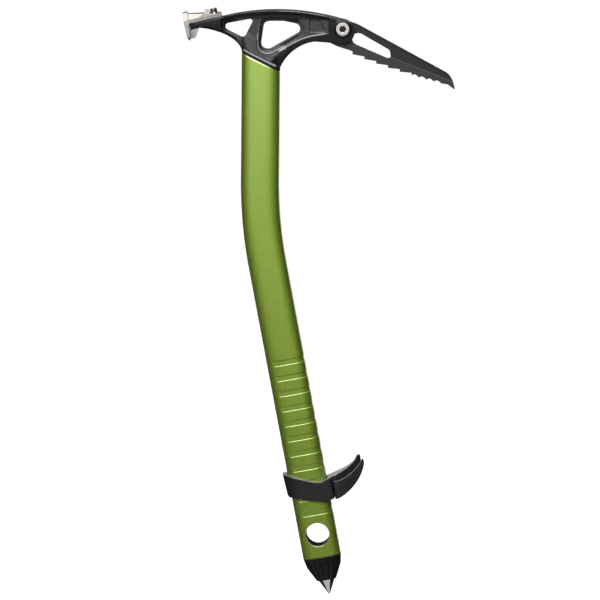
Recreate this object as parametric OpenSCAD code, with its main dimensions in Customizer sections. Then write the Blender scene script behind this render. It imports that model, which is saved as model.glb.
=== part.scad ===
// Ice climbing tool: a bent oval shaft, a forged head that holds a bolted pick and hammer,
// a nose with a spike, and a pinky rest that slides on the grip and locks with a cam lever.
// Millimetres. X points forward to the pick, Y runs across the tool and Z points up.
// The origin is the centre of the carabiner hole near the foot of the shaft.

/* [Shaft] */
// Front-to-back width of the oval tube
shaft_w = 32.2; // [30:0.1:36]
// Side-to-side thickness of the oval tube
shaft_t = 21; // [19:0.5:24]
// Radius of the tube's four rounded corners
corner_r = 8.5; // [6:0.5:9]
// Wall of the tube
shaft_wall = 1.8; // [1.4:0.1:2.4]
// Carabiner hole centre to the start of the bend
grip_len = 233; // [215:1:250]
// Angle of the bend
bend_angle = 11; // [4:0.5:16]
// Centreline radius of the bend
bend_r = 375; // [250:5:450]
// End of the bend to the middle of the head joint
neck_len = 100; // [80:1:120]
// Slope of the cut under the head
joint_slope = 26; // [15:1:32]
// Carabiner hole centre to the foot of the tube
tail_len = 20; // [16:0.5:30]
// Diameter of the carabiner hole
hole_d = 20; // [16:0.5:22]
// Chamfer on the rims of the carabiner hole
hole_chamfer = 0.7; // [0.3:0.1:1.2]

/* [Grip grooves] */
// Number of pressed grooves
groove_count = 11; // [4:1:14]
// Groove to groove along the shaft
groove_pitch = 13.05; // [10:0.05:15]
// Width of one groove
groove_w = 5.2; // [3:0.1:7]
// Depth of one groove
groove_depth = 0.6; // [0.3:0.1:0.8]
// Carabiner hole centre to the lowest groove
groove_base = 22; // [18:0.5:30]

/* [Head] */
// Thickness across the head's cheeks
head_t = 16; // [14:0.5:20]
// Thickness of the rear arm
arm_t = 11; // [9:0.5:13]
// Height of the crown above the middle of the joint
crown_h = 43.2; // [40:0.1:48]
// Radius of the crown's long arc
crown_r = 196; // [170:2:240]
// Crown's highest point, forward of the shaft axis
crown_x = 15; // [6:0.5:18]
// Gasket between the tube and the head
gasket_t = 2; // [1:0.1:3]
// Height of the foot rim that caps the tube
foot_h = 3; // [2:0.1:5]
// Length of the hollow tang inside the tube
tang_len = 42; // [25:1:60]
// Wall of the tang
tang_wall = 3.5; // [2.5:0.1:4.5]
// Pick bolt, forward of the shaft axis
pick_bolt_x = 68.5; // [64:0.5:75]
// Pick bolt, above the middle of the joint
pick_bolt_z = 28.6; // [26:0.1:29]
// Round end of the cheeks
cheek_r = 9.8; // [8.5:0.1:11]
// Radius of the bolt boss
boss_r = 7; // [6.4:0.1:7.6]
// Height of the bolt boss
boss_h = 0.8; // [0.4:0.1:1.5]
// Height of the rim along the crown
crown_rim = 0.9; // [0.6:0.1:1.6]
// Depth of the web below the rim
web_depth = 1.2; // [0.6:0.1:1.4]
// Width of the rib along the underside of the arch
rib_w = 5; // [3.5:0.1:5.5]
// Depth of the pocket round the big window
pocket_depth = 2.2; // [1.6:0.1:2.4]
// Bottom of the pick slot, behind the pick bolt
slot_depth = 19; // [17:0.5:21]

/* [Pick] */
// Thickness of the pick
pick_t = 4; // [3:0.1:5]
// Pick bolt to the tip, measured forward
pick_len = 94; // [84:1:105]
// Pick bolt to the first tooth, measured forward
tooth_start = 8.2; // [7:0.2:12]
// First tooth's tip below the pick bolt
tooth_line = 21.8; // [18:0.1:23]
// Slope of the toothed edge at its root
edge_slope = 22; // [18:0.5:26]
// Radius of the toothed edge's droop
edge_r = 417; // [300:5:600]
// Number of coarse teeth
coarse_count = 6; // [3:1:7]
// Pitch of the coarse teeth
coarse_pitch = 9.9; // [8:0.1:10.5]
// Pitch of the fine teeth
fine_pitch = 6.2; // [5:0.1:8]
// Depth of a coarse tooth
tooth_depth = 2.2; // [1:0.1:3]
// Plain beak left between the last tooth and the tip
beak_len = 11; // [8:0.5:16]
// Shank of the pick bolt
pick_bolt_d = 6; // [5:0.5:7]
// Head of the pick bolt
pick_head_d = 11; // [10:0.5:11.5]
// Height of the pick bolt's head
pick_head_h = 3; // [2:0.1:3.4]
// Key size of the pick bolt's socket
pick_key = 5; // [4:0.5:6]
// Width across the flats of the pick nut
pick_nut_af = 10; // [9:0.5:11]

/* [Hammer] */
// Front edge of the hammer's seat, behind the shaft axis
seat_x = 33; // [31:0.5:36]
// Height of the seat above the crown's arc
seat_step = 0.7; // [0.4:0.1:1.5]
// Slope of the seat, falling to the rear
seat_slope = 13; // [9:0.5:16]
// Length of the seat
seat_len = 27.6; // [26:0.1:32]
// Thickness of the arm's tip under the seat
tip_t = 5.8; // [4:0.1:7]
// Hammer bolt, behind the seat's front edge
hammer_bolt_x = 5.9; // [5.5:0.1:9]
// Width of the striking plate
plate_w = 24; // [20:0.5:28]
// Thickness of the striking plate at its top
plate_t = 4; // [3.6:0.1:6]
// Striking plate's top above the seat
plate_up = 9.1; // [8:0.1:12]
// Striking plate's foot below the seat
plate_down = 14.3; // [12:0.1:18]
// Thickness of the hammer's flange
flange_t = 1.8; // [1.5:0.1:3]
// Width of the flange at its front end
flange_w = 9.5; // [8:0.5:12]
// Shank of the hammer bolt
hammer_bolt_d = 4; // [3:0.5:5]
// Head of the hammer bolt
hammer_head_d = 6; // [5.5:0.1:8]
// Height of the hammer bolt's head
hammer_head_h = 3.2; // [2.6:0.1:5]
// Diameter of the hammer's cross pin
keeper_d = 2; // [1.6:0.1:3]

/* [Nose and spike] */
// Length of the nose below the tube
nose_len = 20.5; // [16:0.5:28]
// Width of the nose at its foot
nose_foot_w = 16.5; // [12:0.5:18]
// Thickness of the nose at its foot
nose_foot_t = 11; // [9:0.5:14]
// Depth of the nose's flutes
flute_depth = 1; // [0.4:0.1:1.2]
// Carabiner hole centre to the top of the nose's stem
stem_top = 16; // [13:0.5:24]
// Length of the spike below the nose
spike_len = 13; // [8:0.5:18]
// Width of the spike's root
spike_w = 14; // [9:0.5:15]
// Depth of the spike's root across the tool
spike_d = 8.5; // [6:0.5:10]
// Length of the spike's tang
spike_tang = 16; // [8:0.5:17]

/* [Pinky rest] */
// Carabiner hole centre to the middle of the rest
rest_pos = 38.5; // [36:0.5:60]
// Wall of the rest's band
rest_wall = 2.4; // [2:0.1:3.4]
// Gap between the band and the shaft
rest_clear = 0.3; // [0.2:0.05:0.5]
// Hook's nose, forward of the shaft's front edge
hook_reach = 31; // [26:0.5:34]
// Hook's tip above the middle of the rest
hook_rise = 21.5; // [20:0.5:28]
// Lever's tip, forward of the hook's nose
lever_over = 2.4; // [2.2:0.1:3.4]
// Gap between the closed lever and the hook
lever_gap = 0.9; // [0.5:0.1:1.2]
// Gap between the lever's top and the hook's lip
lip_gap = 0.6; // [0.4:0.1:1]
// Lever's hinge, forward of the shaft's front edge
hinge_x = 7.9; // [7.6:0.1:9]
// Radius of the lever's knuckle
knuckle_r = 3.5; // [3.2:0.1:4]
// Diameter of the barrel that the lever turns on
barrel_d = 4.4; // [4:0.1:5]
// Diameter of the tension screw
screw_d = 3; // [2.5:0.1:3.2]
// Thickness of the saddle under the knuckle
saddle_t = 0.8; // [0.5:0.1:1.2]
// Thickness of the ear that the cam pulls
ear_t = 3.6; // [3:0.1:4]
// Width of the band's split
split_w = 1.2; // [0.8:0.1:1.6]

/* [Hidden] */

$fn = 64;
hull_sides = 32;
// Steps along one curve, and along one rounded corner
curve_steps = 10;
corner_steps = 6;
// Reach of a cut past the surface that it opens
over = 1;
// Fits: bonded or bolted pieces, pieces that turn, and room beside a moving cam
seat_gap = 0.1;
turn_gap = 0.05;
cam_gap = 0.25;

// Middle of the head joint
neck_x = -grip_len * sin(bend_angle) - bend_r * (1 - cos(bend_angle));
neck_z = grip_len * cos(bend_angle) + bend_r * sin(bend_angle);
joint_z = neck_z + neck_len;
joint_rise = tan(joint_slope) * shaft_w / 2;
column_top = neck_len + joint_rise + over;
bend_draw = 0.1;
inner_w = shaft_w - 2 * shaft_wall;
inner_t = shaft_t - 2 * shaft_wall;
inner_r = corner_r - shaft_wall;

// Head outline, from the middle of the joint
crown_z = crown_h - crown_r;
base_rear = [-shaft_w / 2, joint_rise + gasket_t];
base_front = [shaft_w / 2, gasket_t - joint_rise];
arch_end = [pick_bolt_x - 23.5, pick_bolt_z - 10.9];
cheek = [pick_bolt_x, crown_z + sqrt(pow(crown_r - cheek_r, 2) - pow(pick_bolt_x - crown_x, 2))];
seat_front = [-seat_x, crown_at(-seat_x) + seat_step];
along = [cos(seat_slope), sin(seat_slope)];
square_to = [-sin(seat_slope), cos(seat_slope)];
hammer_at = seat_front - hammer_bolt_x * along;
seat_rear = seat_front - seat_len * along;
lug_len = 7;
arm_under = seat_rear + lug_len * along - tip_t * square_to;

// Windows and pockets as rounded shapes: each row is a corner's centre and radius
big_window = [[5.5, 15.5, 5.4], [28, 28, 4.8], [18, 30.2, 4.4], [7, 29.3, 5]];
small_window = [[-15.8, 23.2, 3.2], [-8.9, 34.1, 1.8], [-26.7, 28.8, 3.3]];
panel_recess = [[42.4, 27, 1.6], [52, 27.2, 1.6], [47.8, 34.6, 1.6], [42.4, 34.8, 1.6]];
pocket_rim = 3.4;
flare_h = 13;

// Web between the crown's rim and the rib, from the middle of the joint
web_steps = 2;
web_step_h = 1.5;
rib_root = [5, 4.4];
rib_end = arch_end + [0, rib_w];
web_front = [pick_bolt_x - 11.5, pick_bolt_z - 3.6];

// Pick outline, from the pick bolt
pick_top = [14, 2.6];
pick_top_slope = 27.9;
pick_tail = 4 * seat_gap - slot_depth;
pick_heel = [pick_tail, -8.5];
pick_belly = [-4.5, -15.3];
pick_throat = [6.2, -18.5];
pick_tip = [pick_len, edge_at(pick_len) - 2.7];
pick_brow = [pick_len - 8, pick_top[1] - tan(pick_top_slope) * (pick_len - 8 - pick_top[0])];
pick_window = [[12.9, -8.9, 5.2], [37.8, -22.5, 2.3], [36.3, -19.8, 3.2]];
fine_start = tooth_start + (coarse_count - 1) * coarse_pitch;
fine_count = floor((pick_len - beak_len - fine_start) / fine_pitch);
scallop = 0.28;

// Pick bolt, along Y
slot_w = pick_t + 2 * seat_gap;
boss_face = head_t / 2 + boss_h;
head_seat = boss_face - pick_head_h;
nut_h = 3.6;
washer_t = 0.8;
nut_seat = head_seat - washer_t;
washer_r = pick_nut_af / 2 + 0.6;
key_depth = 2;

// Hammer, from its bolt with X along the seat
plate_x = seat_len - hammer_bolt_x + seat_gap + plate_t;
plate_foot_t = plate_t * 0.45;
plate_chamfer = 5.6;
heel_chamfer = 3;
rim_w = 1.6;
rim_h = 1.2;
tip_w = arm_t - 1;
lug_w = tip_w - 1;
ridge_w = 5;
hammer_boss_r = hammer_head_d / 2 + 0.4;
hammer_boss_z = flange_t + 1.6;
hammer_key = hammer_head_d * 0.43;
hammer_bolt_len = 8;
keeper_ear_r = keeper_d / 2 + 1;
keeper_ear_w = 5;
keeper_x = -hammer_boss_r - keeper_ear_r - 0.4;
keeper_z = hammer_boss_z + 2.2;

// Nose and spike
stem_w = inner_w - 2 * seat_gap;
stem_t = inner_t - 2 * seat_gap;
stem_r = inner_r - seat_gap;
nose_foot = -tail_len - nose_len;
level_t = 0.2;
flute_r = 2.2;
flute_share = 5.2;
flute_start = 3.5;
tang_w = 6;
tang_t = 4;
spike_tip = 0.07;

// Pinky rest, from the shaft axis at the middle of the rest
front = shaft_w / 2;
band_x = front + rest_clear + rest_wall;
band_y = shaft_t / 2 + rest_clear + rest_wall;
band_r = corner_r + rest_clear + rest_wall;
shoulder_x = band_x - band_r;
shoulder_y = band_y - band_r;
band_end = front + hinge_x - knuckle_r - 0.4;
hinge = [front + hinge_x, -(band_y - knuckle_r)];
ear_out = hinge[1] + knuckle_r + cam_gap + saddle_t;
ear_in = ear_out + ear_t;
ear_end = hinge[0] + 4;
ear_room = 1;
lever_wrap = 1.2;
lever_root = 4.6;
hook_nose = [front + hook_reach - 2, 0.6, 2];
lever_nose = [front + hook_reach + lever_over - 2, -0.4, 2];
near_corner = 2.5;
back_flare = 1.3;
rear_x = -shoulder_x - back_flare;
band = [[rear_x, -shoulder_y, band_r], [band_end - near_corner, near_corner - band_y, near_corner],
    [shoulder_x, shoulder_y, band_r], [rear_x, shoulder_y, band_r]];
near_flank = 8;
hook = [[front + 2, -1, near_flank], hook_nose, [shoulder_x, shoulder_y, band_r]];
lip = [[hinge[0], near_corner - band_y, near_corner], hook_nose, [shoulder_x, shoulder_y, band_r]];
bow = [[hinge[0], hinge[1], knuckle_r], lever_nose, [hinge[0], 2, 1]];
screw_z = -3.4;
screw_head_r = screw_d * 0.95;
screw_head_h = screw_d;
screw_key = screw_d * 0.83;
far_flank = tangent_angle(hook_nose, hook[2]);
screw_seat = (hook_nose[0] * cos(far_flank) + hook_nose[1] * sin(far_flank) + hook_nose[2]
    - cos(far_flank) * hinge[0]) / sin(far_flank) - screw_head_h - 1.6;
barrel_low = -9.4;
barrel_high = 3;
fork_h = screw_d + 1.4;

// Height of the crown's arc at a place along the head
function crown_at(x) = crown_z + sqrt(crown_r * crown_r - pow(x - crown_x, 2));

// Depth of the pick's toothed edge at a distance from the bolt
function edge_at(x) = let (d = x - tooth_start) -tooth_line - tan(edge_slope) * d + d * d / (2 * edge_r);

// Cubic curve between two points, drawn by two handles
function curve(a, b, c, d) = [for (i = [0:curve_steps]) let (t = i / curve_steps, s = 1 - t)
    s * s * s * a + 3 * s * s * t * b + 3 * s * t * t * c + t * t * t * d];

// Direction in which the tangent line from circle p to circle q faces outward
function tangent_angle(p, q) = atan2(q[1] - p[1], q[0] - p[0])
    - acos((p[2] - q[2]) / norm([q[0] - p[0], q[1] - p[1]]));

// Outline of a band pulled tight round circles that are listed anticlockwise
function belt(circles, grow = 0) = [for (j = [0:len(circles) - 1])
    let (c = circles[j],
        before = circles[(j + len(circles) - 1) % len(circles)],
        after = circles[(j + 1) % len(circles)],
        start = tangent_angle(before, c),
        sweep = ((tangent_angle(c, after) - start) % 360 + 360) % 360,
        r = c[2] + grow)
    for (i = [0:corner_steps]) let (a = start + sweep * i / corner_steps)
        [c[0] + r * cos(a), c[1] + r * sin(a)]];

// Places of the pieces
module grip_frame() { rotate([0, -bend_angle, 0]) children(); }
module head_frame() { translate([neck_x, 0, joint_z]) children(); }
module pick_frame() { head_frame() translate([pick_bolt_x, 0, pick_bolt_z]) children(); }
module hammer_frame() {
    head_frame() translate([hammer_at[0], 0, hammer_at[1]]) rotate([0, -seat_slope, 0]) children();
}
module rest_frame() { grip_frame() translate([0, 0, rest_pos]) children(); }

// A side-view outline given thickness across the tool
module side(thickness) { rotate([90, 0, 0]) linear_extrude(height = thickness, center = true) children(); }

// A pair of side-view cuts, one from each face, that stop at a distance from the middle
module both_sides(floor_y) {
    for (s = [-1, 1]) translate([0, s * (floor_y + shaft_t), 0]) side(2 * shaft_t) children();
}

// A round bar along Y between two distances from the middle
module cross_bar(r, from, to) {
    translate([0, from, 0]) rotate([-90, 0, 0]) cylinder(r = r, h = to - from);
}

// A hexagonal bar along Y between two distances from the middle
module hex_bar(af, from, to) {
    translate([0, from, 0]) rotate([-90, 0, 0]) cylinder(d = af / cos(30), h = to - from, $fn = 6);
}

// Oval section of the tube
module oval(w, t, r) {
    square([w - 2 * r, t], center = true);
    square([w, t - 2 * r], center = true);
    for (x = [-1, 1], y = [-1, 1]) translate([x * (w / 2 - r), y * (t / 2 - r)]) circle(r);
}

// An oval bar that follows the shaft from its foot past the head joint, drawn in a little at the bend
module shaft_path(w, t, r, extra) {
    grip_frame() {
        translate([0, 0, -tail_len - extra]) linear_extrude(grip_len + tail_len + extra + over) oval(w, t, r);
        translate([bend_r, 0, grip_len]) rotate([90, 0, 0]) rotate(180 - bend_angle)
            rotate_extrude(angle = bend_angle, $fn = 360) translate([bend_r, 0])
                oval(w - 2 * bend_draw, t - 2 * bend_draw, r - bend_draw);
    }
    translate([neck_x, 0, neck_z - over]) linear_extrude(column_top + extra + over) oval(w, t, r);
}

// Everything above the sloping joint, shifted up by a rise
module above_joint(rise) {
    head_frame() translate([0, 0, rise]) rotate([0, joint_slope, 0])
        translate([-2 * shaft_w, -2 * shaft_t, 0]) cube([4 * shaft_w, 4 * shaft_t, 4 * shaft_w]);
}

// One pressed groove across the broad faces and the front edge
module groove() {
    back_margin = 5;
    linear_extrude(groove_w) difference() {
        translate([back_margin - shaft_w / 2, -shaft_t]) square([shaft_w, 2 * shaft_t]);
        oval(shaft_w - 2 * groove_depth, shaft_t - 2 * groove_depth, corner_r - groove_depth);
    }
}

// Carabiner hole through the tube, with chamfered rims
module carabiner_cut() {
    cross_bar(hole_d / 2, -shaft_t, shaft_t);
    for (s = [-1, 1]) translate([0, s * shaft_t / 2, 0]) rotate([s * 90, 0, 0])
        translate([0, 0, -hole_chamfer])
            cylinder(r1 = hole_d / 2 + 2 * hole_chamfer, r2 = hole_d / 2, h = 2 * hole_chamfer);
}

module shaft_tube() {
    color("#93aa4c") difference() {
        shaft_path(shaft_w, shaft_t, corner_r, 0);
        shaft_path(inner_w, inner_t, inner_r, over);
        above_joint(0);
        grip_frame() for (i = [0:groove_count - 1])
            translate([0, 0, groove_base + i * groove_pitch]) groove();
        carabiner_cut();
    }
}

// A plate of oval section that lies along the sloping joint
module joint_plate(w, t, r, low, high) {
    difference() {
        head_frame() translate([0, 0, -joint_rise - over])
            linear_extrude(2 * joint_rise + high + 2 * over) oval(w, t, r);
        above_joint(high);
        difference() {
            head_frame() translate([-shaft_w, -shaft_t, -joint_rise - 2 * over])
                cube([2 * shaft_w, 2 * shaft_t, 2 * joint_rise + high + 4 * over]);
            above_joint(low);
        }
    }
}

module head_gasket() {
    color("#1d1d1f") difference() {
        joint_plate(shaft_w, shaft_t, corner_r, 0, gasket_t);
        head_frame() translate([0, 0, -shaft_w]) linear_extrude(2 * shaft_w)
            oval(inner_w, inner_t, inner_r);
    }
}

// Side outline of the head, from the middle of the joint
head_outline = concat(
    curve(base_front, base_front + [2.8, 9], arch_end - [15.2, 1.9], arch_end),
    [arch_end + [10, -0.6], cheek - [3, cheek_r - 0.5], cheek],
    [for (i = [0:2 * curve_steps]) let (x = pick_bolt_x - i * (pick_bolt_x + seat_x) / (2 * curve_steps))
        [x, crown_at(x)]],
    [seat_front, seat_rear, seat_rear - tip_t * square_to],
    curve(arm_under, arm_under + [14, -0.8], base_rear + [-3.5, 10.4], base_rear));

// Half plan of the head's thickness: the arm, the middle and the cheeks
head_plan = [[-seat_x - 2 * seat_len, tip_w / 2], [-seat_x, tip_w / 2], [-shaft_w * 0.75, arm_t / 2],
    [0, head_t / 2], [2 * pick_bolt_x, head_t / 2]];

// Foot that flares from the web to the tube's oval
module head_foot() {
    intersection() {
        head_frame() side(shaft_t) polygon(head_outline);
        head_frame() translate([0, 0, -joint_rise]) linear_extrude(4 * joint_rise + crown_h)
            oval(shaft_w, shaft_t, corner_r);
        head_frame() translate([0, 0, gasket_t]) rotate([0, joint_slope, 0]) rotate([90, 0, 90])
            linear_extrude(4 * shaft_w, center = true)
                polygon([[-shaft_t / 2, -over], [shaft_t / 2, -over], [shaft_t / 2, foot_h],
                    [arm_t / 2, foot_h + flare_h], [-arm_t / 2, foot_h + flare_h], [-shaft_t / 2, foot_h]]);
    }
}

// A column with the head's thickness less an inset on each side
module head_column(inset) {
    translate([0, 0, -crown_h]) linear_extrude(3 * crown_h)
        polygon(concat([for (p = head_plan) p - [0, inset]], [for (i = [len(head_plan) - 1:-1:0])
            [head_plan[i][0], inset - head_plan[i][1]]]));
}

// Side outline of the web, open to the rear arm and bounded below by the rib of the arch
web_outline = concat(
    [[-seat_x, 2 * crown_h], [-seat_x, -crown_h], [rib_root[0], -crown_h]],
    curve(rib_root, rib_root + [13, 5], rib_end - [13, 1.2], rib_end),
    [web_front, web_front + [0, 2 * crown_h]]);

// Sunken web on both faces, stepped along the crown's rim
module web_cut() {
    for (i = [0:web_steps - 1]) difference() {
        side(2 * shaft_t) intersection() {
            polygon(web_outline);
            translate([crown_x, crown_z]) circle(crown_r - crown_rim - i * web_step_h, $fn = 360);
        }
        head_column(web_depth * (i + 1) / web_steps);
    }
}

module head_blank() {
    head_frame() difference() {
        intersection() {
            side(2 * shaft_t) {
                polygon(head_outline);
                translate(cheek) circle(cheek_r);
            }
            head_column(0);
        }
        web_cut();
    }
    head_foot();
    pick_frame() cross_bar(boss_r, -boss_face, boss_face);
    difference() {
        head_frame() translate([0, 0, -joint_rise - tang_len])
            linear_extrude(tang_len + 2 * joint_rise + gasket_t) oval(stem_w, stem_t, stem_r);
        head_frame() translate([0, 0, -joint_rise - tang_len - over]) linear_extrude(tang_len + over)
            oval(stem_w - 2 * tang_wall, stem_t - 2 * tang_wall, stem_r / 2);
        above_joint(gasket_t + foot_h / 2);
    }
}

module head() {
    color("#2f2f33") difference() {
        head_blank();
        head_frame() {
            side(2 * shaft_t) polygon(belt(big_window));
            side(2 * shaft_t) polygon(belt(small_window));
            both_sides(head_t / 2 - pocket_depth) polygon(belt(big_window, pocket_rim));
            both_sides(head_t / 2 - pocket_depth) polygon(belt(panel_recess));
        }
        pick_frame() {
            translate([-slot_depth, -slot_w / 2, -2 * cheek_r - crown_h])
                cube([2 * slot_depth + cheek_r, slot_w, 3 * cheek_r + 2 * crown_h]);
            cross_bar(pick_bolt_d / 2 + seat_gap, -shaft_t, shaft_t);
            cross_bar(pick_head_d / 2 + 2 * seat_gap, -shaft_t, -head_seat);
            hex_bar(pick_nut_af + 4 * seat_gap, nut_seat, shaft_t);
            cross_bar(washer_r + seat_gap, nut_seat, nut_seat + washer_t);
        }
        hammer_frame() translate([0, 0, -hammer_bolt_len])
            cylinder(d = hammer_bolt_d + seat_gap, h = 2 * hammer_bolt_len);
    }
}

// Lower edge of the pick from the first tooth to the last
coarse_edge = [for (i = [0:coarse_count - 1]) let (x = tooth_start + i * coarse_pitch)
    each [[x, edge_at(x) + tooth_depth], [x, edge_at(x)]]];
fine_edge = [for (i = [0:fine_count - 1], k = [1:4])
    let (x = fine_start + (i + k / 4) * fine_pitch, lift = k == 4 ? 0 : sin(45 * k) * scallop * fine_pitch)
        [x, edge_at(x) + lift]];

module pick() {
    outline = concat([pick_heel, pick_belly, pick_throat], coarse_edge, fine_edge,
        [[pick_len - beak_len * 0.55, edge_at(pick_len - beak_len * 0.55) + 0.4]],
        curve(pick_tip, pick_tip + [-0.9, 6.1], pick_brow + [5, -2.7], pick_brow),
        curve(pick_top, pick_top + [-7, 3.6], [-6, 8], [pick_tail, 10]));
    color("#35353a") pick_frame() difference() {
        side(pick_t) polygon(outline);
        side(2 * pick_t) polygon(belt(pick_window));
        cross_bar(pick_bolt_d / 2 + seat_gap, -pick_t, pick_t);
    }
}

module pick_bolt() {
    color("#c9c6c2") pick_frame() difference() {
        union() {
            cross_bar(pick_head_d / 2, -boss_face, -head_seat);
            cross_bar(pick_bolt_d / 2, -head_seat - over, nut_seat + washer_t + nut_h);
        }
        hex_bar(pick_key, -shaft_t, -boss_face + key_depth);
    }
}

module pick_washer() {
    color("#b9b7b3") pick_frame() difference() {
        cross_bar(washer_r, nut_seat, nut_seat + washer_t);
        cross_bar(pick_bolt_d / 2 + seat_gap, 0, shaft_t);
    }
}

module pick_nut() {
    color("#b9b7b3") pick_frame() difference() {
        hex_bar(pick_nut_af, nut_seat + washer_t, nut_seat + washer_t + nut_h);
        cross_bar(pick_bolt_d / 2 + turn_gap, 0, shaft_t);
    }
}

// Striking plate, chamfered at its corners and thinner towards its foot
module striking_plate() {
    side(plate_w) polygon([[-plate_x, plate_up], [-plate_x, -plate_down + heel_chamfer],
        [-plate_x + heel_chamfer / 2, -plate_down], [-plate_x + plate_foot_t, -plate_down],
        [-plate_x + plate_t, 0], [-plate_x + plate_t, plate_up]]);
}

// Front view of the hammer: wide at the seat, chamfered above and below
module hammer_front() {
    top = plate_w / 2 - plate_chamfer;
    rotate([90, 0, 90]) linear_extrude(4 * plate_x, center = true)
        polygon([[-plate_w / 2, heel_chamfer - plate_down], [heel_chamfer - plate_w / 2, -plate_down],
            [plate_w / 2 - heel_chamfer, -plate_down], [plate_w / 2, heel_chamfer - plate_down],
            [plate_w / 2, plate_up - plate_chamfer], [top, plate_up], [-top, plate_up],
            [-plate_w / 2, plate_up - plate_chamfer]]);
}

// Plan of the flange, tapering from the striking plate to its front end
module flange_plan(inset) {
    rear = over - plate_x;
    nose = hammer_bolt_x - inset;
    polygon([[rear, inset - plate_w / 2], [nose, inset - flange_w / 2], [nose, flange_w / 2 - inset],
        [rear, plate_w / 2 - inset]]);
}

// Ridge from the striking plate down to the bolt's boss, with sloping flanks
module hammer_ridge() {
    intersection() {
        side(plate_w) polygon([[over - plate_x, 0], [over - plate_x, plate_up - over],
            [keeper_x, keeper_z - keeper_ear_r / 2], [hammer_bolt_x, flange_t], [hammer_bolt_x, 0]]);
        rotate([90, 0, 90]) linear_extrude(4 * plate_x, center = true)
            polygon([[rim_w - plate_w / 2, 0], [plate_w / 2 - rim_w, 0], [ridge_w / 2, plate_up],
                [-ridge_w / 2, plate_up]]);
        linear_extrude(2 * plate_up) flange_plan(rim_w);
    }
}

// Lug that hooks under the tip of the arm
module hammer_lug() {
    side(lug_w) polygon([[-plate_x + over, -tip_t - seat_gap],
        [-plate_x + plate_t + lug_len - seat_gap, -tip_t - seat_gap],
        [-plate_x + plate_t + lug_len / 3, over - plate_down], [-plate_x + over, over - plate_down]]);
}

module hammer() {
    color("#c4c1bd") hammer_frame() difference() {
        union() {
            intersection() {
                striking_plate();
                hammer_front();
            }
            linear_extrude(flange_t) flange_plan(0);
            linear_extrude(flange_t + rim_h) difference() {
                flange_plan(0);
                flange_plan(rim_w);
            }
            hammer_ridge();
            hammer_lug();
            cylinder(r = hammer_boss_r, h = hammer_boss_z);
            translate([keeper_x, 0, keeper_z]) cross_bar(keeper_ear_r, -keeper_ear_w / 2, keeper_ear_w / 2);
        }
        translate([0, 0, -over]) cylinder(d = hammer_bolt_d + 2 * seat_gap, h = plate_up + over);
        translate([0, 0, hammer_boss_z]) cylinder(r = hammer_boss_r, h = plate_up);
        translate([keeper_x, 0, keeper_z]) cross_bar(keeper_d / 2, -plate_w, plate_w);
    }
}

module hammer_bolt() {
    color("#cfccc8") hammer_frame() difference() {
        union() {
            translate([0, 0, hammer_boss_z + washer_t]) cylinder(d = hammer_head_d, h = hammer_head_h);
            translate([0, 0, -hammer_bolt_len])
                cylinder(d = hammer_bolt_d, h = hammer_bolt_len + hammer_boss_z + washer_t + over);
        }
        translate([0, 0, hammer_boss_z + washer_t + hammer_head_h / 2])
            cylinder(d = hammer_key / cos(30), h = hammer_head_h, $fn = 6);
    }
}

module hammer_washer() {
    color("#b9b7b3") hammer_frame() translate([0, 0, hammer_boss_z]) difference() {
        cylinder(r = hammer_boss_r - seat_gap, h = washer_t);
        translate([0, 0, -over]) cylinder(d = hammer_bolt_d + 2 * seat_gap, h = washer_t + 2 * over);
    }
}

// Rolled spring pin through the hammer's small ear
module hammer_pin() {
    reach = keeper_ear_w / 2 + keeper_d / 4;
    color("#8d8b88") hammer_frame() translate([keeper_x, 0, keeper_z]) difference() {
        cross_bar(keeper_d / 2, -reach, reach);
        cross_bar(keeper_d / 4, -plate_w, plate_w);
    }
}

// One level of the nose: a thin oval plate
module nose_level(z, w, t) {
    translate([0, 0, z]) linear_extrude(level_t) oval(w, t, min(corner_r, t / 2 - over), $fn = hull_sides);
}

// A round bar between two points
module rod(a, b, r) {
    d = b - a;
    translate(a) rotate([0, acos(d[2] / norm(d)), atan2(d[1], d[0])]) cylinder(r = r, h = norm(d));
}

// Flutes down the nose's broad faces, drawn together towards the spike
module nose_flutes() {
    lift = flute_r - flute_depth;
    for (s = [-1, 1], k = [-2:2])
        rod([k * shaft_w / flute_share, s * (shaft_t / 2 + lift), -tail_len - flute_start],
            [k * nose_foot_w / flute_share, s * (nose_foot_t / 2 + lift), nose_foot - over], flute_r);
}

module end_plug() {
    color("#202022") grip_frame() difference() {
        union() {
            difference() {
                hull() {
                    nose_level(-tail_len - level_t, shaft_w, shaft_t);
                    nose_level(-tail_len - nose_len * 0.4, shaft_w * 0.9, shaft_t * 0.88);
                    nose_level(nose_foot, nose_foot_w, nose_foot_t);
                }
                nose_flutes();
            }
            translate([0, 0, -tail_len - over]) linear_extrude(tail_len + stem_top + over)
                oval(stem_w, stem_t, stem_r);
        }
        cross_bar(hole_d / 2, -shaft_t, shaft_t);
        translate([-tang_w / 2 - seat_gap, -tang_t / 2 - seat_gap, nose_foot - over])
            cube([tang_w + 2 * seat_gap, tang_t + 2 * seat_gap, spike_tang + over + seat_gap]);
    }
}

module spike() {
    facet = 0.22 * spike_w;
    color("#bdb9b5") grip_frame() translate([0, 0, nose_foot]) {
        mirror([0, 0, 1]) linear_extrude(spike_len, scale = spike_tip)
            polygon([[-spike_w / 2, 0], [-facet, -spike_d / 2], [facet, -spike_d / 2], [spike_w / 2, 0],
                [facet, spike_d / 2], [-facet, spike_d / 2]]);
        translate([-tang_w / 2, -tang_t / 2, -level_t]) cube([tang_w, tang_t, spike_tang + level_t]);
    }
}

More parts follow.
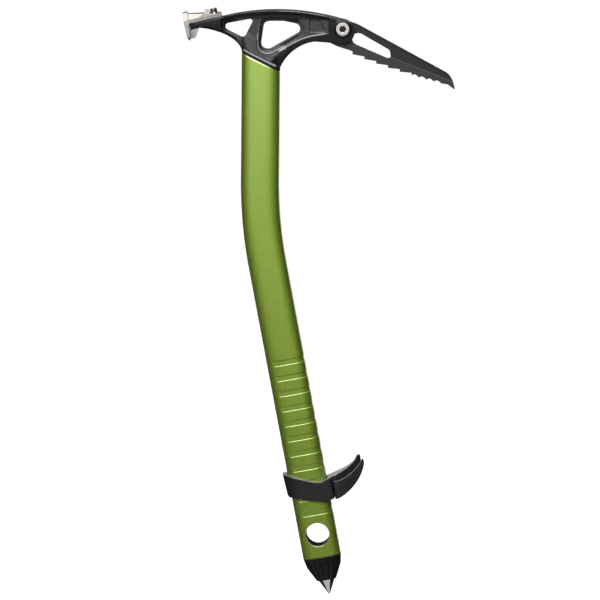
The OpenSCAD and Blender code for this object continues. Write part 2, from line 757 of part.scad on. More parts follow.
// Side outline of the rest: a band that sinks to the front and rises into the hook
rest_low = [front - 5, 5.6];
hook_tip = [front + hook_reach, hook_rise];
hook_foot = hook_tip - [0, 8.5];
rest_belly = [front - 4, -11];
rest_outline = concat(
    curve([-band_x - back_flare, 17.2], [10 - band_x, 13.5], rest_low + [-10.3, 1.4], rest_low),
    curve(rest_low, rest_low + [7.6, 3.4], hook_tip - [5.6, 9.2], hook_tip - [2.9, 0]),
    [hook_tip],
    curve(hook_foot, hook_foot - [4, 14], rest_belly + [14, -0.5], rest_belly),
    curve(rest_belly, rest_belly + [-10, 0.2], [10.8 - band_x, -4], [1.3 - band_x, -3.2]),
    [[-band_x, -1.5]]);

// Side outline of the lever, which follows the underside of the hook
lever_tip = hook_tip + [lever_over, -3.3];
lever_top = concat(curve(lever_tip - [0.8, 0], lever_tip - [6, 7.5], [front + 17, lever_root + 0.8],
    [hinge[0] + knuckle_r, lever_root]), [[band_end, lever_root]]);
lever_outline = concat(curve([band_end, -11.2], [front + 12, -11], [front + hook_reach - 1.6, -1.5],
    lever_tip - [0, 4]), lever_top);

// Side outline of the room for the lever and the split, under the hook's lip
room_outline = concat([for (p = lever_top) p + [0, lip_gap]],
    [[-band_x, lever_root + lip_gap], [-band_x, -2 * hook_rise], lever_tip + [over, -4 * hook_rise],
    lever_tip + [over, lip_gap]]);

// A plan shape given the height that the rest needs
module rest_column() { translate([0, 0, -2 * hook_rise]) linear_extrude(4 * hook_rise) children(); }

// Room beside the hook for the lever, behind its knuckle for the cam, and round the ear for the split
module lever_room() {
    intersection() {
        side(4 * band_y) polygon(room_outline);
        rest_column() {
            difference() {
                translate([band_end, -2 * band_y]) square([2 * hook_reach, 2 * band_y + hook_nose[1]]);
                polygon(belt(hook));
            }
            translate([band_end, ear_out - 2 * band_y]) square([ear_end + ear_room - band_end, 2 * band_y]);
            translate([0, ear_in]) square([ear_end + ear_room, split_w]);
            translate([ear_end, ear_out - over]) square([ear_room, ear_t + over + split_w]);
        }
    }
}

module rest_collar() {
    color("#26262a") rest_frame() difference() {
        intersection() {
            side(4 * band_y) polygon(rest_outline);
            rest_column() difference() {
                union() {
                    polygon(belt(band));
                    polygon(belt(lip));
                }
                oval(shaft_w + 2 * rest_clear, shaft_t + 2 * rest_clear, corner_r + rest_clear);
            }
        }
        lever_room();
        translate([hinge[0], 0, screw_z]) {
            cross_bar(screw_d / 2 + seat_gap, -2 * band_y, 2 * band_y);
            cross_bar(screw_head_r + 2 * seat_gap, screw_seat, 2 * band_y);
        }
    }
}

module cam_lever() {
    color("#2b2b2f") rest_frame() difference() {
        intersection() {
            side(4 * band_y) polygon(lever_outline);
            rest_column() {
                translate(hinge) circle(knuckle_r);
                difference() {
                    polygon(belt(bow));
                    polygon(belt(hook, lever_gap));
                    translate([0, lever_wrap]) square([4 * band_x, 2 * band_y]);
                    translate([-band_x, -2 * band_y]) square([band_x + hinge[0], 4 * band_y]);
                }
            }
        }
        translate([hinge[0], hinge[1], -2 * hook_rise])
            cylinder(d = barrel_d + 2 * turn_gap, h = 4 * hook_rise);
        translate([hinge[0] - 2 * knuckle_r, hinge[1] - fork_h / 2, screw_z - fork_h / 2])
            cube([2 * knuckle_r + fork_h / 2, knuckle_r + fork_h, fork_h]);
    }
}

module lever_barrel() {
    color("#9a9895") rest_frame() difference() {
        translate([hinge[0], hinge[1], barrel_low]) cylinder(d = barrel_d, h = barrel_high - barrel_low);
        translate([hinge[0], 0, screw_z]) cross_bar(screw_d / 2 + turn_gap, hinge[1] - screw_d / 2, 0);
    }
}

module tension_screw() {
    color("#b9b7b3") rest_frame() translate([hinge[0], 0, screw_z]) difference() {
        union() {
            cross_bar(screw_head_r, screw_seat, screw_seat + screw_head_h);
            cross_bar(screw_d / 2, hinge[1] - screw_d / 2, screw_seat + over);
        }
        hex_bar(screw_key, screw_seat + screw_head_h / 2, 2 * band_y);
    }
}

module cam_saddle() {
    color("#8d8b88") rest_frame() difference() {
        translate([hinge[0] - knuckle_r + over, ear_out - saddle_t, screw_z - knuckle_r - over])
            cube([2 * (knuckle_r - over), saddle_t, 2 * (knuckle_r + over)]);
        translate([hinge[0], 0, screw_z]) cross_bar(screw_d / 2 + seat_gap, -2 * band_y, 0);
    }
}

shaft_tube();
head_gasket();
head();
pick();
pick_bolt();
pick_washer();
pick_nut();
hammer();
hammer_bolt();
hammer_washer();
hammer_pin();
end_plug();
spike();
rest_collar();
cam_lever();
lever_barrel();
tension_screw();
cam_saddle();
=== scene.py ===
"""Looks of an ice climbing tool: surfaces, finishes, studio light and camera."""

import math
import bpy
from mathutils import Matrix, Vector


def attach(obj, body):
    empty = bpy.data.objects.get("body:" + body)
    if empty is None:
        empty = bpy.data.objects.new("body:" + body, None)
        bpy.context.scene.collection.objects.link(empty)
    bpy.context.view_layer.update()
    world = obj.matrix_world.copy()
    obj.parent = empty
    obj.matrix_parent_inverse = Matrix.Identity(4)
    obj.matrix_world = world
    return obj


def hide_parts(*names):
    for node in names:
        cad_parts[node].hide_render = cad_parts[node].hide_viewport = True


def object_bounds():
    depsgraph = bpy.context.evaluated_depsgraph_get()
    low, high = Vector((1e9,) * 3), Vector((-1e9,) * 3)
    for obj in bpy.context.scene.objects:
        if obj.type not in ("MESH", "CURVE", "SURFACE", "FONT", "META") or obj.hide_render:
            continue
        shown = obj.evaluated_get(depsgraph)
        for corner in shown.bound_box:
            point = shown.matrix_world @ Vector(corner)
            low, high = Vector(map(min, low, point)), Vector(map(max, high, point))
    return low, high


bl_info = {
    "name": "Ice Tool Finish",
    "version": (1, 0, 0),
    "blender": (4, 5, 0),
    "location": "View3D > Sidebar > Ice Tool",
    "description": "Builds the detailed surfaces and finishes of an ice climbing tool",
    "category": "Object",
}

import bmesh
import bpy
from mathutils import Matrix, Vector

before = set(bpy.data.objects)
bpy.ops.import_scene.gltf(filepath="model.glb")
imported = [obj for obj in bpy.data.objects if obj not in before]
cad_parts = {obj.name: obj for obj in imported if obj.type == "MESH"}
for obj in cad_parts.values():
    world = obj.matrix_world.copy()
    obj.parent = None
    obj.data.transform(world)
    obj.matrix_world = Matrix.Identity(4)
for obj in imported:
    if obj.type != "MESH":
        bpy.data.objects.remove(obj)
CAD_BOX = [list(corner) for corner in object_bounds()]
WEB_SHARE = "web_share"
PAINTED_HIGHLIGHT_SHARE = "painted_highlight_share"
MM = 0.001

# Shared settings of the finishes and the meshes, with angles in degrees
NOISE_SPAN = (0.3, 0.7)
BUMP_STRENGTH = 0.5
WELD = 0.002 * MM
SMOOTH_FACTOR = 0.5
FLAT_ANGLE = 1.0
CREASE_ANGLE = 32.0
SOFT_ANGLE = 60.0

# Points round the tube and its hole, and rings along the parts of the tube
SECTION_STEPS = 144
HOLE_STEPS = 128
EDGE_RINGS = 5
GRIP_RINGS = 6
BEND_RINGS = 24
NECK_RINGS = 8

# Bands of the head's relief, in depths of its web, and bands of its foot, in heights of its rim; the edge,
# step and rim bands place the painted highlights
WEB_BAND = (0.6, 1.4)
FLOOR_BAND = (1.45, 2.4)
EDGE_BAND = (1.05, 1.6)
STEP_BAND = (0.1, 0.95)
RIM_BAND = (-0.3, 0.2)
FOOT_BAND = (1 / 3, 5.0)
SKIN_BLUR = 0.3
HIGHLIGHT_BLUR = 0.12
FOOT_BLUR = 0.5

# How far a face looks sideways where its finish and its painted highlights set in, and the strength of the
# fainter painted highlights
SIDE_SPAN = (0.3, 0.5)
POCKET_HIGHLIGHT = 0.35
RIM_HIGHLIGHT = 0.7

# Stage, in metres and watts
VIEW_TARGET = (-0.0169, 0.0, 0.1985)
SOFT_LIGHT = 0.3
FLOOR_GLOW = 0.82
FLOOR_HALF = 30.0
WHITE = (1.0, 1.0, 1.0, 1.0)
FLAG_COLOUR = (0.02, 0.02, 0.02)
LAMPS = [
    dict(name="key_lamp", place=(-0.2, -1.35, 1.05), target=(0.0, 0.0, 0.35), size=(1.2, 1.1), power=28.5),
    dict(name="top_lamp", place=(-0.35, -0.35, 1.5), target=(-0.1, 0.0, 0.3), size=(1.8, 1.1), power=8.0),
    dict(name="back_lamp", place=(0.4, 1.1, 1.9), target=VIEW_TARGET, size=(1.2, 1.2), power=5.0),
    dict(name="low_back_lamp", place=(0.2, 1.6, 0.15), target=VIEW_TARGET, size=(2.4, 0.9), power=7.0),
]
FLAGS = [
    dict(name="left_flag", centre=(-0.8, 0.0, 0.4), facing=(1.0, 0.0, 0.0), size=(3.0, 1.6)),
    dict(name="right_flag", centre=(0.8, 0.0, 0.4), facing=(-1.0, 0.0, 0.0), size=(3.0, 1.6)),
    dict(name="front_flag", centre=(0.0, -3.0, 0.3), facing=(0.0, 1.0, 0.0), size=(6.0, 4.0)),
    dict(name="back_flag", centre=(0.0, 2.4, 1.3), facing=(0.0, -1.0, 0.0), size=(6.0, 4.0)),
]
FLOOR_FLAGS = [
    dict(name="near_flag", centre=(0.0, -1.64), size=(2.8, 2.72)),
    dict(name="far_flag", centre=(0.0, 0.5), size=(2.8, 1.3)),
    dict(name="low_left_flag", centre=(-0.8, -0.325), size=(1.2, 0.35)),
    dict(name="low_right_flag", centre=(0.75, -0.325), size=(1.2, 0.35)),
]


def size_prop(label, words, default):
    """A length that a user may change, in metres."""
    return bpy.props.FloatProperty(
        name=label,
        description=words,
        default=default * MM,
        min=0.0,
        precision=5,
        subtype="DISTANCE",
        unit="LENGTH",
    )


def count_prop(label, words, default, least=0):
    """A whole number that a user may change."""
    return bpy.props.IntProperty(name=label, description=words, default=default, min=least)


def angle_prop(label, words, degrees):
    """An angle that a user may change."""
    return bpy.props.FloatProperty(
        name=label, description=words, default=math.radians(degrees), subtype="ANGLE", unit="ROTATION"
    )


def colour_prop(label, words, default):
    """A colour that a user may change."""
    return bpy.props.FloatVectorProperty(
        name=label, description=words, default=default, size=3, min=0.0, max=1.0, subtype="COLOR"
    )


class ShaftSettings(bpy.types.PropertyGroup):
    """Bent oval tube with its pressed grooves."""

    width: size_prop("Width", "Front-to-back width of the tube", 32.2)
    thickness: size_prop("Thickness", "Side-to-side thickness of the tube", 21.0)
    wall: size_prop("Wall", "Wall of the tube", 1.8)
    squareness: bpy.props.FloatProperty(
        name="Squareness",
        description="How square the oval section is; 2 is an ellipse",
        default=3.3,
        min=2.0,
        max=8.0,
    )
    tail: size_prop("Tail", "Carabiner hole to the foot of the tube", 20.0)
    grip: size_prop("Grip", "Carabiner hole to the start of the bend", 233.0)
    bend: angle_prop("Bend", "Angle of the bend", 11.0)
    bend_radius: size_prop("Bend radius", "Radius of the bend's centreline", 375.0)
    neck: size_prop("Neck", "End of the bend to the head joint", 100.0)
    joint_slope: angle_prop("Joint slope", "Slope of the cut under the head", 26.0)
    hole: size_prop("Carabiner hole", "Diameter of the carabiner hole", 20.0)
    rim: size_prop("Rim", "Chamfer on the tube's foot and round its hole", 0.55)
    top_slope: size_prop("Top slope", "Height of the sloped edge at the tube's top", 1.2)
    top_inset: size_prop("Top inset", "Depth of the sloped edge at the tube's top", 0.5)
    groove_count: count_prop("Grooves", "Number of pressed grooves", 11, least=1)
    groove_base: size_prop("First groove", "Carabiner hole to the lowest groove", 16.5)
    groove_pitch: size_prop("Groove pitch", "Groove to groove along the tube", 13.05)
    groove_width: size_prop("Groove width", "Width of one groove", 5.2)
    groove_depth: size_prop("Groove depth", "Depth of one groove", 0.28)
    groove_lip: size_prop("Groove lip", "Width of the steep lower lip of a groove", 0.4)
    groove_run: size_prop("Groove run", "Width of the gentler upper slope of a groove", 1.1)
    groove_start: size_prop("Groove start", "Bare back of the tube beside the grooves", 5.0)
    groove_fade: size_prop("Groove fade", "Length over which a groove runs out", 3.0)
    colour: colour_prop("Anodising", "Colour of the anodised tube", (0.29, 0.44, 0.018))


class HeadSettings(bpy.types.PropertyGroup):
    """Forged head and its gasket."""

    voxel: size_prop("Voxel", "Size of the grid that rounds the forging's edges", 0.32)
    passes: count_prop("Softening", "How often the forging is smoothed", 3)
    relief: count_prop("Relief", "How often the steps of the web are sloped", 8)
    middle: size_prop("Middle", "Half thickness of the head over the shaft", 8.0)
    arm: size_prop("Arm", "Half thickness of the rear arm", 5.5)
    arm_start: size_prop("Arm start", "Start of the rear arm behind the shaft axis", 24.0)
    web_depth: size_prop("Web depth", "Depth of the sunken web", 1.2)
    strut_front: size_prop("Strut front", "Front end of the blasted skin, from the shaft axis", 6.0)
    strut_top: size_prop("Strut top", "Top end of the blasted skin over the joint", 37.0)
    panel_back: size_prop("Panel back", "Rear end of the blasted panel, from the shaft axis", 30.0)
    # The bright lines bounded here and by the next two settings are painted highlights.
    highlight_back: size_prop("Line back", "Rear end of the bright lines, behind the shaft axis", 8.0)
    step_back: size_prop("Step back", "Rear end of the line under the web", 14.0)
    step_front: size_prop("Step front", "Front end of the line under the web", 56.0)
    skin_blur: size_prop("Skin blur", "Width over which the blasted skin runs out", 3.0)
    foot: size_prop("Foot", "Height of the rim that caps the tube", 3.0)
    blend: count_prop("Foot blend", "How often the foot's flare is smoothed", 40)
    blend_start: size_prop("Blend start", "Start of the flare's blend over the rim", 0.6)
    blend_end: size_prop("Blend end", "End of the flare's blend over the rim", 18.0)
    colour: colour_prop("Coating", "Colour of the black coating", (0.005, 0.005, 0.0055))
    web_colour: colour_prop("Web", "Colour of the blasted skin", (0.026, 0.0255, 0.029))
    # Colour of the painted highlights along the relief.
    painted_highlight_colour: colour_prop("Lines", "Colour of the lines along the relief", (0.42, 0.42, 0.44))
    gasket_colour: colour_prop("Gasket", "Colour of the rubber gasket", (0.006, 0.006, 0.006))


class PickSettings(bpy.types.PropertyGroup):
    """Toothed pick and its bolt."""

    edge: size_prop("Edge", "Bevel along the pick's edges", 0.45)
    colour: colour_prop("Steel", "Colour of the dark coated steel", (0.006, 0.0059, 0.0065))
    band_colour: colour_prop("Band", "Colour of the steel ground over the teeth", (0.014, 0.0138, 0.015))
    band_drop: size_prop("Band drop", "Pick bolt down to the ground band", 7.8)
    band_slope: angle_prop("Band slope", "Slope of the ground band", 20.9)
    band_blur: size_prop("Band blur", "Half width of the soft edge of a finish", 0.3)
    # The light line along the ground band is a painted highlight.
    highlight_line: size_prop("Ridge", "Half width of the light line along the ground band", 0.7)
    back_rise: size_prop("Back rise", "Pick bolt up to the polished back", 7.4)
    back_slope: angle_prop("Back slope", "Slope of the pick's back", 28.2)
    bolt_colour: colour_prop("Bolts", "Colour of the bright bolts", (0.56, 0.54, 0.515))
    bolt_edge: size_prop("Bolt edge", "Bevel along the edges of the bolts", 0.25)
    socket: size_prop("Socket", "Reach of the bolt's socket from its axis", 3.0)
    # The socket's dark colour is partly oil, partly painted shade in the recess.
    socket_oil_and_shade_colour: colour_prop("Socket colour", "Colour of the oiled socket", (0.016, 0.011, 0.009))


class HammerSettings(bpy.types.PropertyGroup):
    """Cast hammer and its fasteners."""

    edge: size_prop("Edge", "Rounding along the casting's edges", 0.7)
    bolt_edge: size_prop("Bolt edge", "Bevel along the edges of the bolt, washer and pin", 0.2)
    colour: colour_prop("Steel", "Colour of the cast steel", (0.44, 0.418, 0.39))


class NoseSettings(bpy.types.PropertyGroup):
    """Fluted plug and spike."""

    voxel: size_prop("Voxel", "Size of the grid that rounds the plug's edges", 0.28)
    passes: count_prop("Softening", "How often the plug is smoothed", 4)
    spike_edge: size_prop("Spike edge", "Bevel along the spike's edges", 0.25)
    colour: colour_prop("Plastic", "Colour of the plug", (0.006, 0.006, 0.0062))
    spike_colour: colour_prop("Steel", "Colour of the spike", (0.6, 0.577, 0.563))


class RestSettings(bpy.types.PropertyGroup):
    """Pinky rest and its cam lever."""

    voxel: size_prop("Voxel", "Size of the grid that rounds the moulding's edges", 0.3)
    hardware_edge: size_prop("Hardware edge", "Bevel along the edges of the steel hardware", 0.15)
    passes: count_prop("Softening", "How often the moulding is smoothed", 16)
    colour: colour_prop("Plastic", "Colour of the rest", (0.009, 0.0085, 0.0095))
    lever_colour: colour_prop("Lever", "Colour of the lever", (0.01, 0.0095, 0.0105))
    # Colour of the painted light from above on the upper faces.
    top_light_colour: colour_prop("Dust", "Colour of the dust on the upper faces", (0.19, 0.187, 0.197))


class StageSettings(bpy.types.PropertyGroup):
    """Camera, lamps and floor."""

    azimuth: angle_prop("Azimuth", "Camera's turn towards the pick", 2.5)
    elevation: angle_prop("Elevation", "Camera's height above the horizon", 8.5)
    roll: angle_prop("Roll", "Camera's roll", 0.5)
    distance: size_prop("Distance", "Camera to the tool", 6000.0)
    half_view: size_prop("Half view", "Half of the view's width at the tool", 252.3)
    floor_drop: size_prop("Floor", "Depth of the floor under the spike", 300.0)
    flag_drop: size_prop("Floor flags", "Depth of the flat dark flags under the spike", 250.0)
    floor_colour: colour_prop("Floor colour", "Colour of the floor", (0.9, 0.9, 0.9))


SETTINGS = {
    "ice_shaft": ShaftSettings,
    "ice_head": HeadSettings,
    "ice_pick": PickSettings,
    "ice_hammer": HammerSettings,
    "ice_nose": NoseSettings,
    "ice_rest": RestSettings,
    "ice_stage": StageSettings,
}


# Node trees


def add_node(material, kind, **values):
    """Adds a node and sets its properties and unlinked inputs."""
    node = material.node_tree.nodes.new(kind)
    for key, value in values.items():
        if key in node.inputs:
            node.inputs[key].default_value = value
        else:
            setattr(node, key, value)
    return node


def join(material, source, output, target, socket):
    """Links one node's output to another node's input."""
    material.node_tree.links.new(source.outputs[output], target.inputs[socket])


def new_finish(name, colour, metallic, roughness, specular):
    """A material with one surface shader."""
    material = bpy.data.materials.new(name)
    material.use_nodes = True
    shader = material.node_tree.nodes["Principled BSDF"]
    shader.inputs["Base Color"].default_value = (*colour, 1.0)
    shader.inputs["Metallic"].default_value = metallic
    shader.inputs["Roughness"].default_value = roughness
    shader.inputs["Specular IOR Level"].default_value = specular
    return material, shader


def noise(material, scale, detail=3.0, stretch=(1.0, 1.0, 1.0)):
    """Noise in the object's own space; scale is in features per metre."""
    place = add_node(material, "ShaderNodeTexCoord")
    mapping = add_node(material, "ShaderNodeMapping", Scale=stretch)
    texture = add_node(material, "ShaderNodeTexNoise", Scale=scale, Detail=detail)
    join(material, place, "Object", mapping, "Vector")
    join(material, mapping, "Vector", texture, "Vector")
    return texture


def spread(material, source, output, limits, values, smooth=False):
    """Turns the span between two limits into the span between two values."""
    step = add_node(material, "ShaderNodeMapRange")
    if smooth:
        step.interpolation_type = "SMOOTHSTEP"
    for name, value in zip(("From Min", "From Max", "To Min", "To Max"), (*limits, *values)):
        step.inputs[name].default_value = value
    join(material, source, output, step, "Value")
    return step


def shade(colour, share):
    """A colour made lighter or darker."""
    return [min(1.0, share * part) for part in colour]


def overlay(material, share, output, below, colour):
    """Lays a colour over another one, by a share."""
    mix = add_node(material, "ShaderNodeMixRGB", Color2=(*colour, 1.0))
    join(material, share, output, mix, "Fac")
    join(material, below, "Color", mix, "Color1")
    return mix


def tone(material, shader, texture, colour, darker, lighter):
    """Varies the base colour between two shades of itself."""
    ramp = add_node(material, "ShaderNodeValToRGB")
    for stop, position, share in zip(ramp.color_ramp.elements, NOISE_SPAN, (darker, lighter)):
        stop.position = position
        stop.color = (*shade(colour, share), 1.0)
    join(material, texture, "Fac", ramp, "Fac")
    join(material, ramp, "Color", shader, "Base Color")
    return ramp


def vary_roughness(material, shader, texture, low, high):
    """Varies the roughness between two values."""
    varied = spread(material, texture, "Fac", NOISE_SPAN, (low, high))
    join(material, varied, "Result", shader, "Roughness")


def bump(material, shader, texture, height):
    """Raises the surface by a texture."""
    relief = add_node(material, "ShaderNodeBump", Strength=BUMP_STRENGTH, Distance=height)
    join(material, texture, "Fac", relief, "Height")
    join(material, relief, "Normal", shader, "Normal")


def worn_and_highlit_edges(material, shader, tinted, colour, start, full):
    """Lets a lighter colour show along convex edges: partly wear, partly painted highlight."""
    shape = add_node(material, "ShaderNodeNewGeometry")
    edge = spread(material, shape, "Pointiness", (start, full), (0.0, 1.0))
    worn_and_highlit = overlay(material, edge, "Result", tinted, colour)
    join(material, worn_and_highlit, "Color", shader, "Base Color")


def anodised_green(colour):
    """Satin anodising: a clear oxide skin on a fine blasted grain, with faint drawing lines."""
    material, shader = new_finish("anodised_green", colour, metallic=0.86, roughness=0.66, specular=0.5)
    coat = {"Coat Weight": 1.0, "Coat Roughness": 0.29, "Coat IOR": 2.5}
    for name, value in coat.items():
        shader.inputs[name].default_value = value
    grain = noise(material, scale=900.0, detail=4.0)
    tone(material, shader, grain, colour, darker=0.88, lighter=1.12)
    drawn = noise(material, scale=300.0, stretch=(1.0, 1.0, 0.04))
    vary_roughness(material, shader, drawn, low=0.47, high=0.55)
    bump(material, shader, grain, height=0.03 * MM)
    return material


def forged_black(head):
    """Coated forging: glossy black, with a paler blasted skin, painted highlights along the relief, and
    edges lightened partly by wear, partly as painted highlights.
    """
    material, shader = new_finish("forged_black", head.colour, metallic=0.0, roughness=0.42, specular=0.34)
    line = add_node(material, "ShaderNodeAttribute", attribute_name=PAINTED_HIGHLIGHT_SHARE)
    share = add_node(material, "ShaderNodeAttribute", attribute_name=WEB_SHARE)
    peel = noise(material, scale=420.0)
    black = tone(material, shader, peel, head.colour, darker=0.8, lighter=1.25)
    sand = noise(material, scale=1100.0)
    blasted = tone(material, shader, sand, head.web_colour, darker=0.7, lighter=1.35)
    skin = overlay(material, share, "Fac", black, head.web_colour)
    join(material, blasted, "Color", skin, "Color2")
    gloss = spread(material, share, "Fac", (0.0, 1.0), (0.28, 0.58))
    join(material, gloss, "Result", shader, "Roughness")
    bump(material, shader, peel, height=0.05 * MM)
    # Painted highlights along the pocket's edges, the web's step and the foot's rim.
    highlighted = overlay(material, line, "Fac", skin, head.painted_highlight_colour)
    # Edges lightened partly by wear, partly as painted highlights.
    worn_and_highlit_edges(material, shader, highlighted, shade(head.web_colour, 1.6), start=0.53, full=0.62)
    return material


def distance_over(material, point, direction):
    """Distance of a place beyond a point, measured along a direction."""
    place = add_node(material, "ShaderNodeTexCoord")
    dot = add_node(material, "ShaderNodeVectorMath", operation="DOT_PRODUCT")
    dot.inputs[1].default_value = direction
    beyond = add_node(material, "ShaderNodeMath", operation="SUBTRACT")
    beyond.inputs[1].default_value = point.dot(direction)
    join(material, place, "Object", dot, 0)
    join(material, dot, "Value", beyond, 0)
    return beyond


def ridge_share(material, distance, width):
    """One along a line and nought at a distance from it."""
    rise = spread(material, distance, "Value", (-width, 0.0), (0.0, 1.0), smooth=True)
    fall = spread(material, distance, "Value", (0.0, width), (1.0, 0.0), smooth=True)
    highlight_line = add_node(material, "ShaderNodeMath", operation="MULTIPLY")
    join(material, rise, "Result", highlight_line, 0)
    join(material, fall, "Result", highlight_line, 1)
    return highlight_line


def pick_steel(pick, axis):
    """Dark coated steel plate, ground over the teeth and polished along its back, with a painted highlight
    along the edge of the ground band.
    """
    material, shader = new_finish("pick_steel", pick.colour, metallic=0.0, roughness=0.4, specular=0.4)
    down = Vector((-math.sin(pick.band_slope), 0.0, -math.cos(pick.band_slope)))
    up = Vector((math.sin(pick.back_slope), 0.0, math.cos(pick.back_slope)))
    to_band = distance_over(material, axis + down * pick.band_drop, down)
    to_back = distance_over(material, axis + up * pick.back_rise, up)
    blur = (-pick.band_blur, pick.band_blur)
    ground = noise(material, scale=700.0, stretch=(1.0, 1.0, 0.12))
    tinted = tone(material, shader, ground, pick.colour, darker=0.75, lighter=1.3)
    band = spread(material, to_band, "Value", blur, (0.0, 1.0), smooth=True)
    paler = overlay(material, band, "Result", tinted, pick.band_colour)
    # Painted highlight along the edge of the ground band.
    highlight_line = ridge_share(material, to_band, pick.highlight_line)
    highlighted = overlay(material, highlight_line, "Value", paler, shade(pick.band_colour, 4.0))
    middle = spread(material, to_band, "Value", blur, (0.33, 0.46), smooth=True)
    back = spread(material, to_back, "Value", blur, (0.0, -0.1), smooth=True)
    gloss = add_node(material, "ShaderNodeMath", operation="ADD")
    join(material, middle, "Result", gloss, 0)
    join(material, back, "Result", gloss, 1)
    join(material, gloss, "Value", shader, "Roughness")
    bump(material, shader, ground, height=0.02 * MM)
    # Edges of the pick lightened partly by wear, partly as painted highlights.
    worn_and_highlit_edges(material, shader, highlighted, shade(pick.band_colour, 2.0), start=0.52, full=0.6)
    return material


def cast_steel(colour):
    """Lightly polished casting with a faintly mottled skin."""
    material, shader = new_finish("cast_steel", colour, metallic=1.0, roughness=0.36, specular=0.5)
    skin = noise(material, scale=160.0)
    tone(material, shader, skin, colour, darker=0.94, lighter=1.04)
    vary_roughness(material, shader, skin, low=0.32, high=0.4)
    return material


def turned_steel(name, colour, roughness):
    """Bright machined steel with a fine grain."""
    material, shader = new_finish(name, colour, metallic=1.0, roughness=roughness, specular=0.5)
    turned = noise(material, scale=6000.0, detail=2.0, stretch=(1.0, 0.2, 1.0))
    tone(material, shader, turned, colour, darker=0.95, lighter=1.04)
    vary_roughness(material, shader, turned, low=roughness - 0.02, high=roughness + 0.02)
    return material


def socket_oil_and_shade(colour):
    """Oiled, unpolished steel inside a socket, darkened further as painted shade in the recess."""
    material, shader = new_finish("socket_oil_and_shade", colour, metallic=0.3, roughness=0.55, specular=0.3)
    film = noise(material, scale=900.0)
    tone(material, shader, film, colour, darker=0.6, lighter=1.6)
    vary_roughness(material, shader, film, low=0.45, high=0.65)
    return material


def moulded_plastic(
    name, colour, low, high, specular, scale=1400.0, height=0.04, speckle=1.3, rubbed_and_highlit=2.5
):
    """Moulded plastic with an eroded grain, whose height is in millimetres, and edges lightened partly by
    rubbing, partly as painted highlights.
    """
    material, shader = new_finish(name, colour, metallic=0.0, roughness=low, specular=specular)
    grain = noise(material, scale=scale, detail=2.0)
    tinted = tone(material, shader, grain, colour, darker=1.0 / speckle, lighter=speckle)
    handled = noise(material, scale=150.0, detail=4.0)
    vary_roughness(material, shader, handled, low, high)
    bump(material, shader, grain, height=height * MM)
    worn_and_highlit_edges(material, shader, tinted, shade(colour, rubbed_and_highlit), start=0.52, full=0.62)
    return material


def painted_top_light(material, colour):
    """Paints a paler colour on the faces that look up: painted light from above."""
    shader = material.node_tree.nodes["Principled BSDF"]
    below = shader.inputs["Base Color"].links[0].from_node
    shape = add_node(material, "ShaderNodeNewGeometry")
    parts = add_node(material, "ShaderNodeSeparateXYZ")
    join(material, shape, "Normal", parts, "Vector")
    share = spread(material, parts, "Z", (0.2, 0.7), (0.0, 1.0), smooth=True)
    top_lit = overlay(material, share, "Result", below, colour)
    join(material, top_lit, "Color", shader, "Base Color")


def matt_rubber(colour):
    """Soft black rubber with a bloom like dust."""
    material, shader = new_finish("gasket_rubber", colour, metallic=0.0, roughness=0.7, specular=0.3)
    bloom = noise(material, scale=500.0, detail=4.0)
    tone(material, shader, bloom, colour, darker=0.7, lighter=1.5)
    vary_roughness(material, shader, bloom, low=0.6, high=0.8)
    bump(material, shader, bloom, height=0.05 * MM)
    return material


# Mesh making


def add_piece(name, mesh, material, body, slot, *nodes):
    """Shows a mesh in place of solids of the frame and lets it move with their body."""
    piece = bpy.data.objects.new(name, mesh)
    bpy.context.scene.collection.objects.link(piece)
    mesh.materials.clear()
    mesh.materials.append(material)
    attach(piece, body)
    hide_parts(*nodes)
    return piece


def dress(node, material):
    """Gives a solid of the frame its finish."""
    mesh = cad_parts[node].data
    mesh.materials.clear()
    mesh.materials.append(material)


def solid_mesh(node):
    """A welded working copy of a solid's surface."""
    work = bmesh.new()
    work.from_mesh(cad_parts[node].data)
    bmesh.ops.remove_doubles(work, verts=work.verts, dist=WELD)
    return work


def to_mesh(name, work):
    """Turns a working copy into a mesh."""
    mesh = bpy.data.meshes.new(name)
    work.to_mesh(mesh)
    work.free()
    return mesh


def apply_modifiers(mesh, *changes):
    """Runs modifiers on a mesh; each change is a kind and its properties."""
    carrier = bpy.data.objects.new("carrier", mesh)
    bpy.context.scene.collection.objects.link(carrier)
    for kind, values in changes:
        modifier = carrier.modifiers.new(kind.lower(), kind)
        for key, value in values.items():
            setattr(modifier, key, value)
    graph = bpy.context.evaluated_depsgraph_get()
    result = bpy.data.meshes.new_from_object(carrier.evaluated_get(graph))
    result.name = mesh.name
    bpy.data.objects.remove(carrier)
    bpy.data.meshes.remove(mesh)
    return result


def smooth_shade(mesh, sharp_from):
    """Shades a mesh smoothly, apart from edges sharper than an angle."""
    mesh.shade_smooth()
    mesh.set_sharp_from_angle(angle=math.radians(sharp_from))


def soft_form(name, node, voxel, passes, keep, relief=0):
    """A solid with the rounded edges of a moulding; relief slopes its steps across the tool."""
    mesh = to_mesh(name, solid_mesh(node))
    mesh = apply_modifiers(
        mesh,
        ("REMESH", {"mode": "VOXEL", "voxel_size": voxel}),
        ("SMOOTH", {"factor": SMOOTH_FACTOR, "iterations": passes}),
        ("SMOOTH", {"factor": SMOOTH_FACTOR, "iterations": relief, "use_x": False, "use_z": False}),
        ("DECIMATE", {"ratio": keep}),
    )
    smooth_shade(mesh, SOFT_ANGLE)
    return mesh


def second_finish(piece, material, chosen):
    """Gives the faces whose centres are chosen another finish."""
    piece.data.materials.append(material)
    for face in piece.data.polygons:
        if chosen(face.center):
            face.material_index = 1


